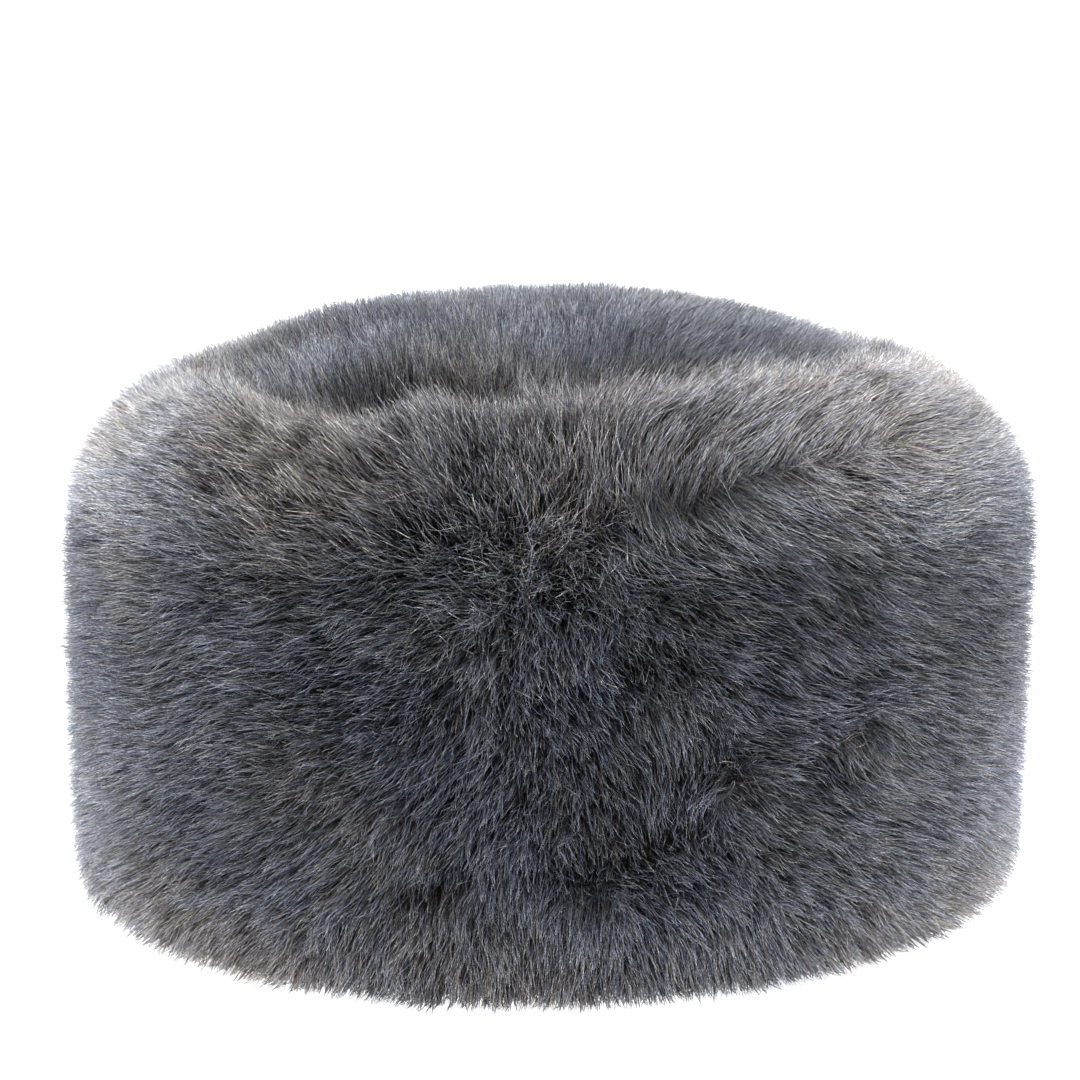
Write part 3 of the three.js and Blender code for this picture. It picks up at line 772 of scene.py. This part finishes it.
grow("band_pile", "side", band_places, BAND_STRANDS, 7, BAND_AREA, SHORT_STATIONS, BAND_WIDTH, band_fibre,
     SECTORS)
grow("fringe_pile", "fringe", fringe_places, FRINGE_STRANDS, 8, SHOULDER_AREA, LONG_STATIONS, BAND_WIDTH,
     band_fibre)
grow("crown_pile", "crown", crown_places, CROWN_STRANDS, 9, CROWN_AREA, SHORT_STATIONS, CROWN_WIDTH,
     crown_fibre)

# Tangles: azimuth, height, reach across in millimetres, count
TANGLES = (
    (289, 57, 5, 18), (307, 66, 5, 14), (277, 21, 6, 22), (292, 15, 6, 16), (309, 36, 5, 8), (102, 60, 6, 16))
CURL_STATIONS = np.linspace(0.0, 1.0, 10)
MM_PER_DEGREE, CURL_UP, CURL_LEAST_HEIGHT = 2.3, 0.55, 4
CURL_DEPTH, CURL_BEND, CURL_RADIUS = (2, 6), (0.8, 3.0), (1.6, 5.0)
CURL_WAVE, CURL_WAVES = 1.6, 3
CURL_TONE, CURL_HUE, CURL_WIDTH, CURL_PALING = (0.2, 0.48), (0.3, 0.9), 0.17, 0.5


def loose_curls():
    """Single fibres that curl over the pile, in tangles at a few places."""
    r = np.random.default_rng(61)
    chosen = []
    for azimuth, height, across, count in TANGLES:
        for _ in range(count):
            turn = math.radians(azimuth + r.normal(0, across / MM_PER_DEGREE))
            z = height + r.normal(0, across * CURL_UP)
            full = OUTER_RADIUS + swell(np.array([math.degrees(turn) % 360]), np.array([z]))[0]
            reach = full - r.uniform(*CURL_DEPTH)
            middle = np.array([math.cos(turn) * reach, math.sin(turn) * reach, max(z, CURL_LEAST_HEIGHT)])
            out = unit(middle * LEVEL)
            side = np.array([-out[1], out[0], 0])
            start = r.uniform(0, 2 * math.pi)
            bend = r.uniform(*CURL_BEND) * r.choice([-1, 1])
            radius = r.uniform(*CURL_RADIUS)
            a = start + bend * CURL_STATIONS
            flat = radius * (np.cos(a)[:, None] * side + np.sin(a)[:, None] * UP)
            wave = CURL_WAVE * np.sin(CURL_WAVES * CURL_STATIONS + start)
            chosen.append(middle + flat + out * wave[:, None])
    points = np.array(chosen)
    n = len(points)
    tone = r.uniform(*CURL_TONE, n)
    hue = r.uniform(*CURL_HUE, n)
    piece = strand_mesh("loose_curls", points, CURL_STATIONS, tone, hue, unit(points[:, 0] * LEVEL),
                        CURL_WIDTH, r, CURL_PALING)
    piece.data.materials.append(band_fibre)
    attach(piece, "root")


loose_curls()

# Studio, in metres and watts
FLOOR_HALF = 6
FLOOR = {"Base Color": (0.85, 0.85, 0.85, 1), "Roughness": 0.7, "Emission Color": (1, 1, 1, 1),
         "Emission Strength": 1.35}
SURROUND = ((0.0, 0.5), (0.36, 0.6), (0.5, 1.5), (1.0, 2.8))  # from the front to the back, brightness
# Lights: name, place, aim, size, power
LIGHTS = (
    ("key_softbox", (-0.7, -1.2, 1.7), (0, 0, 0.08), (1.0, 1.0), 9),
    ("top_softbox", (0, 0.35, 1.6), (0, 0, 0.1), (1.5, 1.2), 13),
    ("side_left", (-1.4, 0.5, 0.5), (0, 0, 0.08), (0.9, 1.3), 20),
    ("side_right", (1.4, 0.5, 0.5), (0, 0, 0.08), (0.9, 1.3), 25))


def pale_floor():
    me = bpy.data.meshes.new("studio_floor")
    corners = [(x * FLOOR_HALF, y * FLOOR_HALF, 0) for x, y in ((-1, -1), (1, -1), (1, 1), (-1, 1))]
    me.from_pydata(corners, [], [(0, 1, 2, 3)])
    ob = bpy.data.objects.new("studio_floor", me)
    bpy.context.scene.collection.objects.link(ob)
    mat, nt = new_material("floor_white")
    surface_output(nt, node(nt, "ShaderNodeBsdfPrincipled", inputs=FLOOR), (300, 0))
    me.materials.append(mat)


def area_light(name, place, aim, size, power):
    data = bpy.data.lights.new(name, "AREA")
    data.shape, data.size, data.size_y = "RECTANGLE", size[0], size[1]
    data.energy = power
    ob = bpy.data.objects.new(name, data)
    ob.location = place
    ob.rotation_euler = (Vector(aim) - Vector(place)).to_track_quat("-Z", "Y").to_euler()
    bpy.context.scene.collection.objects.link(ob)


def studio_world():
    """A white surround, which sends more light from above, behind and the sides than from the
    front."""
    world = bpy.data.worlds.new("studio_white")
    bpy.context.scene.world = world
    world.use_nodes = True
    nt = world.node_tree
    nt.nodes.clear()
    place = node(nt, "ShaderNodeTexCoord", (-900, 0))
    split = node(nt, "ShaderNodeSeparateXYZ", (-720, 0))
    nt.links.new(place.outputs["Generated"], split.inputs[0])
    back = math_node(nt, "MULTIPLY_ADD", (-520, 0), split.outputs[1], 0.5, 0.5)
    light = ramp(nt, SURROUND, back, (-340, 0))
    seen = node(nt, "ShaderNodeLightPath", (-340, 260))
    colour = mix_colour(nt, seen.outputs["Is Camera Ray"], light, (1.0, 1.0, 1.0), (-60, 0))
    ground = node(nt, "ShaderNodeBackground", (140, 0))
    nt.links.new(colour, ground.inputs[0])
    out = node(nt, "ShaderNodeOutputWorld", (340, 0))
    nt.links.new(ground.outputs[0], out.inputs[0])


pale_floor()
studio_world()
for light in LIGHTS:
    area_light(*light)
bpy.context.scene.view_settings.view_transform = "Standard"

# Camera
FRAME = 1080
FOCAL_PX = 3848.0
AIM_HEIGHT = 0.0725
DISTANCE = 1.048
ELEVATION = math.radians(13.6)
ROLL = math.radians(0.74)
AIM_PIXEL = (546.9, 607.7)
SENSOR = 36
CLIP = (0.01, 50)

forward = Vector((0, math.cos(ELEVATION), -math.sin(ELEVATION)))
level, upward = Vector((1, 0, 0)), Vector((0, math.sin(ELEVATION), math.cos(ELEVATION)))
right = level * math.cos(ROLL) - upward * math.sin(ROLL)
above = level * math.sin(ROLL) + upward * math.cos(ROLL)
place = Vector((0, 0, AIM_HEIGHT)) - forward * DISTANCE
look = (forward - right * ((AIM_PIXEL[0] - FRAME / 2) / FOCAL_PX)
        + above * ((AIM_PIXEL[1] - FRAME / 2) / FOCAL_PX)).normalized()
right = (right - look * right.dot(look)).normalized()
above = right.cross(look)
camera_data = bpy.data.cameras.new("photo_camera")
camera_data.sensor_width = SENSOR
camera_data.lens = FOCAL_PX / FRAME * SENSOR
camera_data.clip_start, camera_data.clip_end = CLIP
camera = bpy.data.objects.new("photo_camera", camera_data)
turned = Matrix((right, above, -look)).transposed().to_4x4()
camera.matrix_world = Matrix.Translation(place) @ turned
bpy.context.scene.collection.objects.link(camera)
bpy.context.scene.camera = camera
